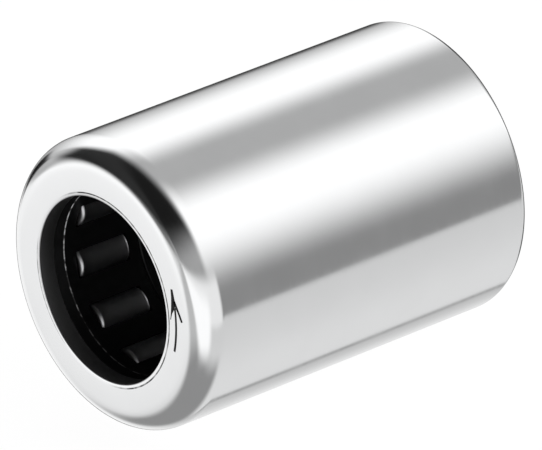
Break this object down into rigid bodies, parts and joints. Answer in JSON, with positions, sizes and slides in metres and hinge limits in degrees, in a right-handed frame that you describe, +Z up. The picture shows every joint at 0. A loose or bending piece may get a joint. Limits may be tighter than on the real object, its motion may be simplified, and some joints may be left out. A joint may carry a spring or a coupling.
{
  "type": "one-way needle roller clutch bearing",
  "caption": "Drawn steel cup with a sprung roller clutch between needle bearings: it drives a shaft one way and runs free the other.",
  "frame": {"origin": "on the bearing's axis, halfway along the cup", "axes": "+Y along the axis, from the marked front face with the wide rounded corner to the rear lip; +Z up as it lies on its side"},
  "size_m": [0.0158, 0.0222, 0.0158],
  "materials": {
    "cup_steel": "bright drawn steel",
    "cage_nylon": "black glass-filled nylon",
    "roller_steel": "ground and lapped",
    "spring_steel": "rolled strip"
  },
  "bodies": {
    "cup": {"drawn_cup": "cup_steel", "clutch_cage": "cage_nylon", "leaf_spring_1": "spring_steel", "leaf_spring_2": "spring_steel", "leaf_spring_3": "spring_steel", "leaf_spring_4": "spring_steel", "leaf_spring_5": "spring_steel", "leaf_spring_6": "spring_steel", "leaf_spring_7": "spring_steel", "leaf_spring_8": "spring_steel"},
    "front_cage": {"front_needle_cage": "cage_nylon"},
    "rear_cage": {"rear_needle_cage": "cage_nylon"},
    "front_needle_01": {"front_needle_01": "roller_steel"},
    "front_needle_02": {"front_needle_02": "roller_steel"},
    "front_needle_03": {"front_needle_03": "roller_steel"},
    "front_needle_04": {"front_needle_04": "roller_steel"},
    "front_needle_05": {"front_needle_05": "roller_steel"},
    "front_needle_06": {"front_needle_06": "roller_steel"},
    "front_needle_07": {"front_needle_07": "roller_steel"},
    "front_needle_08": {"front_needle_08": "roller_steel"},
    "front_needle_09": {"front_needle_09": "roller_steel"},
    "front_needle_10": {"front_needle_10": "roller_steel"},
    "front_needle_11": {"front_needle_11": "roller_steel"},
    "rear_needle_01": {"rear_needle_01": "roller_steel"},
    "rear_needle_02": {"rear_needle_02": "roller_steel"},
    "rear_needle_03": {"rear_needle_03": "roller_steel"},
    "rear_needle_04": {"rear_needle_04": "roller_steel"},
    "rear_needle_05": {"rear_needle_05": "roller_steel"},
    "rear_needle_06": {"rear_needle_06": "roller_steel"},
    "rear_needle_07": {"rear_needle_07": "roller_steel"},
    "rear_needle_08": {"rear_needle_08": "roller_steel"},
    "rear_needle_09": {"rear_needle_09": "roller_steel"},
    "rear_needle_10": {"rear_needle_10": "roller_steel"},
    "rear_needle_11": {"rear_needle_11": "roller_steel"},
    "clutch_roller_1": {"clutch_roller_1": "roller_steel"},
    "clutch_roller_2": {"clutch_roller_2": "roller_steel"},
    "clutch_roller_3": {"clutch_roller_3": "roller_steel"},
    "clutch_roller_4": {"clutch_roller_4": "roller_steel"},
    "clutch_roller_5": {"clutch_roller_5": "roller_steel"},
    "clutch_roller_6": {"clutch_roller_6": "roller_steel"},
    "clutch_roller_7": {"clutch_roller_7": "roller_steel"},
    "clutch_roller_8": {"clutch_roller_8": "roller_steel"}
  },
  "joints": [
    {"name": "front_cage_turn", "type": "hinge", "parent": "cup", "child": "front_cage", "pos_m": [0, 0, 0], "axis": [0, 1, 0], "continuous": true},
    {"name": "front_needle_01_spin", "type": "hinge", "parent": "front_cage", "child": "front_needle_01", "pos_m": [0.00258, 0, 0.00516], "axis": [0, 1, 0], "continuous": true},
    {"name": "front_needle_02_spin", "type": "hinge", "parent": "front_cage", "child": "front_needle_02", "pos_m": [0.00496, 0, 0.00294], "axis": [0, 1, 0], "continuous": true},
    {"name": "front_needle_03_spin", "type": "hinge", "parent": "front_cage", "child": "front_needle_03", "pos_m": [0.00576, 0, -0.00021], "axis": [0, 1, 0], "continuous": true},
    {"name": "front_needle_04_spin", "type": "hinge", "parent": "front_cage", "child": "front_needle_04", "pos_m": [0.00474, 0, -0.00329], "axis": [0, 1, 0], "continuous": true},
    {"name": "front_needle_05_spin", "type": "hinge", "parent": "front_cage", "child": "front_needle_05", "pos_m": [0.00221, 0, -0.00533], "axis": [0, 1, 0], "continuous": true},
    {"name": "front_needle_06_spin", "type": "hinge", "parent": "front_cage", "child": "front_needle_06", "pos_m": [-0.00102, 0, -0.00568], "axis": [0, 1, 0], "continuous": true},
    {"name": "front_needle_07_spin", "type": "hinge", "parent": "front_cage", "child": "front_needle_07", "pos_m": [-0.00393, 0, -0.00422], "axis": [0, 1, 0], "continuous": true},
    {"name": "front_needle_08_spin", "type": "hinge", "parent": "front_cage", "child": "front_needle_08", "pos_m": [-0.00559, 0, -0.00143], "axis": [0, 1, 0], "continuous": true},
    {"name": "front_needle_09_spin", "type": "hinge", "parent": "front_cage", "child": "front_needle_09", "pos_m": [-0.00547, 0, 0.00182], "axis": [0, 1, 0], "continuous": true},
    {"name": "front_needle_10_spin", "type": "hinge", "parent": "front_cage", "child": "front_needle_10", "pos_m": [-0.00362, 0, 0.00449], "axis": [0, 1, 0], "continuous": true},
    {"name": "front_needle_11_spin", "type": "hinge", "parent": "front_cage", "child": "front_needle_11", "pos_m": [-0.00062, 0, 0.00573], "axis": [0, 1, 0], "continuous": true},
    {"name": "rear_cage_turn", "type": "hinge", "parent": "cup", "child": "rear_cage", "pos_m": [0, 0, 0], "axis": [0, 1, 0], "continuous": true},
    {"name": "rear_needle_01_spin", "type": "hinge", "parent": "rear_cage", "child": "rear_needle_01", "pos_m": [0.00102, 0, 0.00568], "axis": [0, 1, 0], "continuous": true},
    {"name": "rear_needle_02_spin", "type": "hinge", "parent": "rear_cage", "child": "rear_needle_02", "pos_m": [0.00393, 0, 0.00422], "axis": [0, 1, 0], "continuous": true},
    {"name": "rear_needle_03_spin", "type": "hinge", "parent": "rear_cage", "child": "rear_needle_03", "pos_m": [0.00559, 0, 0.00143], "axis": [0, 1, 0], "continuous": true},
    {"name": "rear_needle_04_spin", "type": "hinge", "parent": "rear_cage", "child": "rear_needle_04", "pos_m": [0.00547, 0, -0.00182], "axis": [0, 1, 0], "continuous": true},
    {"name": "rear_needle_05_spin", "type": "hinge", "parent": "rear_cage", "child": "rear_needle_05", "pos_m": [0.00362, 0, -0.00449], "axis": [0, 1, 0], "continuous": true},
    {"name": "rear_needle_06_spin", "type": "hinge", "parent": "rear_cage", "child": "rear_needle_06", "pos_m": [0.00062, 0, -0.00573], "axis": [0, 1, 0], "continuous": true},
    {"name": "rear_needle_07_spin", "type": "hinge", "parent": "rear_cage", "child": "rear_needle_07", "pos_m": [-0.00258, 0, -0.00516], "axis": [0, 1, 0], "continuous": true},
    {"name": "rear_needle_08_spin", "type": "hinge", "parent": "rear_cage", "child": "rear_needle_08", "pos_m": [-0.00496, 0, -0.00295], "axis": [0, 1, 0], "continuous": true},
    {"name": "rear_needle_09_spin", "type": "hinge", "parent": "rear_cage", "child": "rear_needle_09", "pos_m": [-0.00576, 0, 0.0002], "axis": [0, 1, 0], "continuous": true},
    {"name": "rear_needle_10_spin", "type": "hinge", "parent": "rear_cage", "child": "rear_needle_10", "pos_m": [-0.00474, 0, 0.00329], "axis": [0, 1, 0], "continuous": true},
    {"name": "rear_needle_11_spin", "type": "hinge", "parent": "rear_cage", "child": "rear_needle_11", "pos_m": [-0.00221, 0, 0.00533], "axis": [0, 1, 0], "continuous": true},
    {"name": "clutch_roller_1_release", "type": "hinge", "parent": "cup", "child": "clutch_roller_1", "pos_m": [0, 0, 0], "axis": [0, 1, 0], "range_deg": [-4, 0], "stiffness_Nm_per_rad": 0.01, "springref_deg": 5.73, "deforming": ["leaf_spring_1"]},
    {"name": "clutch_roller_2_release", "type": "hinge", "parent": "cup", "child": "clutch_roller_2", "pos_m": [0, 0, 0], "axis": [0, 1, 0], "range_deg": [-4, 0], "stiffness_Nm_per_rad": 0.01, "springref_deg": 5.73, "deforming": ["leaf_spring_2"]},
    {"name": "clutch_roller_3_release", "type": "hinge", "parent": "cup", "child": "clutch_roller_3", "pos_m": [0, 0, 0], "axis": [0, 1, 0], "range_deg": [-4, 0], "stiffness_Nm_per_rad": 0.01, "springref_deg": 5.73, "deforming": ["leaf_spring_3"]},
    {"name": "clutch_roller_4_release", "type": "hinge", "parent": "cup", "child": "clutch_roller_4", "pos_m": [0, 0, 0], "axis": [0, 1, 0], "range_deg": [-4, 0], "stiffness_Nm_per_rad": 0.01, "springref_deg": 5.73, "deforming": ["leaf_spring_4"]},
    {"name": "clutch_roller_5_release", "type": "hinge", "parent": "cup", "child": "clutch_roller_5", "pos_m": [0, 0, 0], "axis": [0, 1, 0], "range_deg": [-4, 0], "stiffness_Nm_per_rad": 0.01, "springref_deg": 5.73, "deforming": ["leaf_spring_5"]},
    {"name": "clutch_roller_6_release", "type": "hinge", "parent": "cup", "child": "clutch_roller_6", "pos_m": [0, 0, 0], "axis": [0, 1, 0], "range_deg": [-4, 0], "stiffness_Nm_per_rad": 0.01, "springref_deg": 5.73, "deforming": ["leaf_spring_6"]},
    {"name": "clutch_roller_7_release", "type": "hinge", "parent": "cup", "child": "clutch_roller_7", "pos_m": [0, 0, 0], "axis": [0, 1, 0], "range_deg": [-4, 0], "stiffness_Nm_per_rad": 0.01, "springref_deg": 5.73, "deforming": ["leaf_spring_7"]},
    {"name": "clutch_roller_8_release", "type": "hinge", "parent": "cup", "child": "clutch_roller_8", "pos_m": [0, 0, 0], "axis": [0, 1, 0], "range_deg": [-4, 0], "stiffness_Nm_per_rad": 0.01, "springref_deg": 5.73, "deforming": ["leaf_spring_8"]}
  ],
  "couplings": [
    {"joint": "front_needle_01_spin", "follows": "front_cage_turn", "ratio": -6.8417},
    {"joint": "front_needle_02_spin", "follows": "front_cage_turn", "ratio": -6.8417},
    {"joint": "front_needle_03_spin", "follows": "front_cage_turn", "ratio": -6.8417},
    {"joint": "front_needle_04_spin", "follows": "front_cage_turn", "ratio": -6.8417},
    {"joint": "front_needle_05_spin", "follows": "front_cage_turn", "ratio": -6.8417},
    {"joint": "front_needle_06_spin", "follows": "front_cage_turn", "ratio": -6.8417},
    {"joint": "front_needle_07_spin", "follows": "front_cage_turn", "ratio": -6.8417},
    {"joint": "front_needle_08_spin", "follows": "front_cage_turn", "ratio": -6.8417},
    {"joint": "front_needle_09_spin", "follows": "front_cage_turn", "ratio": -6.8417},
    {"joint": "front_needle_10_spin", "follows": "front_cage_turn", "ratio": -6.8417},
    {"joint": "front_needle_11_spin", "follows": "front_cage_turn", "ratio": -6.8417},
    {"joint": "rear_needle_01_spin", "follows": "rear_cage_turn", "ratio": -6.8417},
    {"joint": "rear_needle_02_spin", "follows": "rear_cage_turn", "ratio": -6.8417},
    {"joint": "rear_needle_03_spin", "follows": "rear_cage_turn", "ratio": -6.8417},
    {"joint": "rear_needle_04_spin", "follows": "rear_cage_turn", "ratio": -6.8417},
    {"joint": "rear_needle_05_spin", "follows": "rear_cage_turn", "ratio": -6.8417},
    {"joint": "rear_needle_06_spin", "follows": "rear_cage_turn", "ratio": -6.8417},
    {"joint": "rear_needle_07_spin", "follows": "rear_cage_turn", "ratio": -6.8417},
    {"joint": "rear_needle_08_spin", "follows": "rear_cage_turn", "ratio": -6.8417},
    {"joint": "rear_needle_09_spin", "follows": "rear_cage_turn", "ratio": -6.8417},
    {"joint": "rear_needle_10_spin", "follows": "rear_cage_turn", "ratio": -6.8417},
    {"joint": "rear_needle_11_spin", "follows": "rear_cage_turn", "ratio": -6.8417},
    {"joint": "clutch_roller_2_release", "follows": "clutch_roller_1_release", "ratio": 1},
    {"joint": "clutch_roller_3_release", "follows": "clutch_roller_1_release", "ratio": 1},
    {"joint": "clutch_roller_4_release", "follows": "clutch_roller_1_release", "ratio": 1},
    {"joint": "clutch_roller_5_release", "follows": "clutch_roller_1_release", "ratio": 1},
    {"joint": "clutch_roller_6_release", "follows": "clutch_roller_1_release", "ratio": 1},
    {"joint": "clutch_roller_7_release", "follows": "clutch_roller_1_release", "ratio": 1},
    {"joint": "clutch_roller_8_release", "follows": "clutch_roller_1_release", "ratio": 1}
  ]
}
